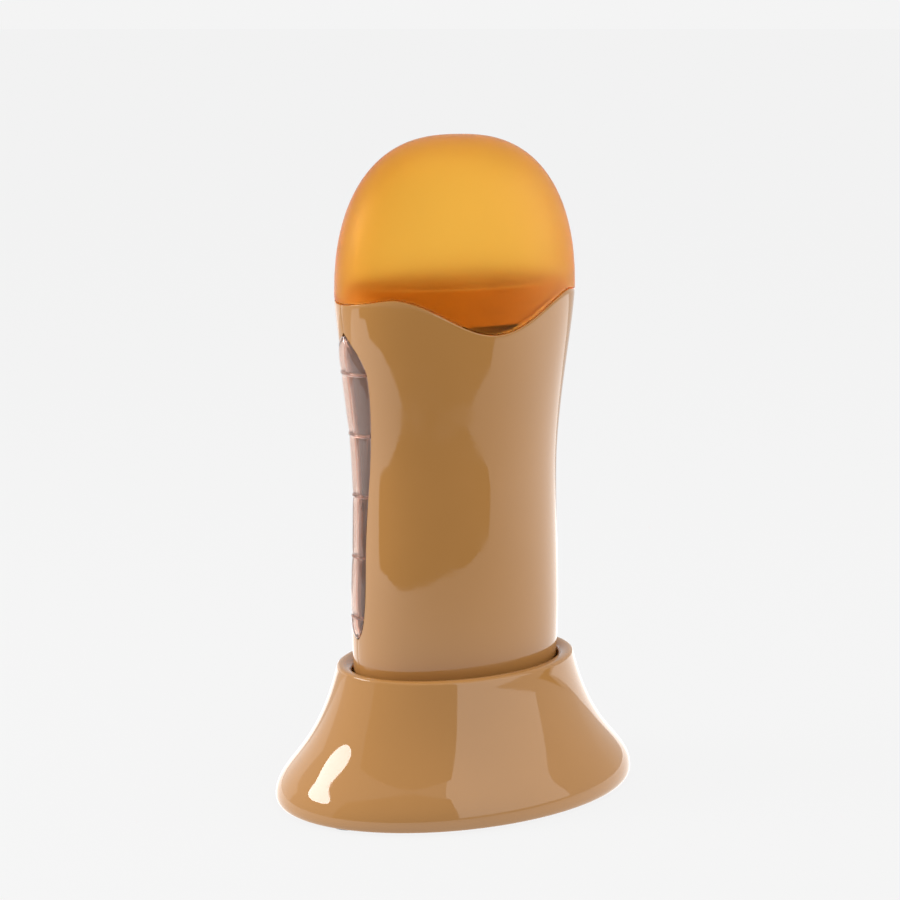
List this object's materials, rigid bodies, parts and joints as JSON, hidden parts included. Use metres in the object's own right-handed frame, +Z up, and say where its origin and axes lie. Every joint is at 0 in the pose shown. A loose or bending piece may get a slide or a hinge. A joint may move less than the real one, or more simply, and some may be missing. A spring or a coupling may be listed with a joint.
{
  "type": "roll on wax heater",
  "caption": "Oval heating handset with a translucent lift-off dome cap and a side level window, standing in a flared oval dock with sprung contacts.",
  "frame": {"origin": "middle of the dock's footprint, at table height", "axes": "+Z up, the wide front face of the handset towards -Y, the level window on the -X side, the cord gland at +Y"},
  "size_m": [0.111, 0.0794, 0.1896],
  "materials": {
    "caramel_plastic": "glossy moulded",
    "orange_translucent": "frosted translucent",
    "clear_lens": "clear, glossy",
    "liner_plastic": "satin moulded",
    "ivory_plastic": "matte moulded",
    "black_phenolic": "matte",
    "heater_aluminium": "extruded",
    "element_ceramic": "fired, dull",
    "fuse_ceramic": "glazed",
    "contact_brass": "plain",
    "spring_steel": "plain",
    "screw_steel": "zinc plated",
    "foot_rubber": "matte",
    "lead_red": "silicone insulation",
    "lead_blue": "silicone insulation"
  },
  "bodies": {
    "base": {"base_shell": "caramel_plastic", "base_bottom_plate": "caramel_plastic", "rubber_feet": "foot_rubber", "base_screws": "screw_steel", "cord_gland": "caramel_plastic", "terminal_block": "ivory_plastic", "terminal_screws": "screw_steel", "contact_carrier": "ivory_plastic", "carrier_screws": "screw_steel", "contact_strip_live": "contact_brass", "contact_strip_neutral": "contact_brass", "contact_spring_live": "spring_steel", "contact_spring_neutral": "spring_steel"},
    "pin_live": {"contact_pin_live": "contact_brass"},
    "pin_neutral": {"contact_pin_neutral": "contact_brass"},
    "handset": {"front_shell": "caramel_plastic", "rear_shell": "caramel_plastic", "housing_screws": "screw_steel", "window_lens": "clear_lens", "bay_liner": "liner_plastic", "cap_collar": "liner_plastic", "heater_plate_front": "heater_aluminium", "heater_plate_rear": "heater_aluminium", "ptc_heater_front": "element_ceramic", "ptc_heater_rear": "element_ceramic", "heater_clip_front": "spring_steel", "heater_clip_rear": "spring_steel", "thermostat": "black_phenolic", "thermal_fuse": "fuse_ceramic", "handset_bottom_cover": "caramel_plastic", "contact_pad_live": "contact_brass", "contact_pad_neutral": "contact_brass", "lead_feed": "lead_red", "lead_bridge": "lead_red", "lead_live_front": "lead_red", "lead_live_rear": "lead_red", "lead_neutral_front": "lead_blue", "lead_neutral_rear": "lead_blue"},
    "cap": {"cap_shell": "orange_translucent"}
  },
  "joints": [
    {"name": "handset_lift", "type": "slide", "parent": "base", "child": "handset", "axis": [0, 0, 1], "range_m": [0, 0.06]},
    {"name": "cap_lift", "type": "slide", "parent": "handset", "child": "cap", "axis": [0, 0, 1], "range_m": [0, 0.04]},
    {"name": "pin_live_push", "type": "slide", "parent": "base", "child": "pin_live", "axis": [0, 0, 1], "range_m": [-0.002, 0], "stiffness_N_per_m": 300, "deforming": ["contact_spring_live"]},
    {"name": "pin_neutral_push", "type": "slide", "parent": "base", "child": "pin_neutral", "axis": [0, 0, 1], "range_m": [-0.002, 0], "stiffness_N_per_m": 300, "deforming": ["contact_spring_neutral"]}
  ]
}
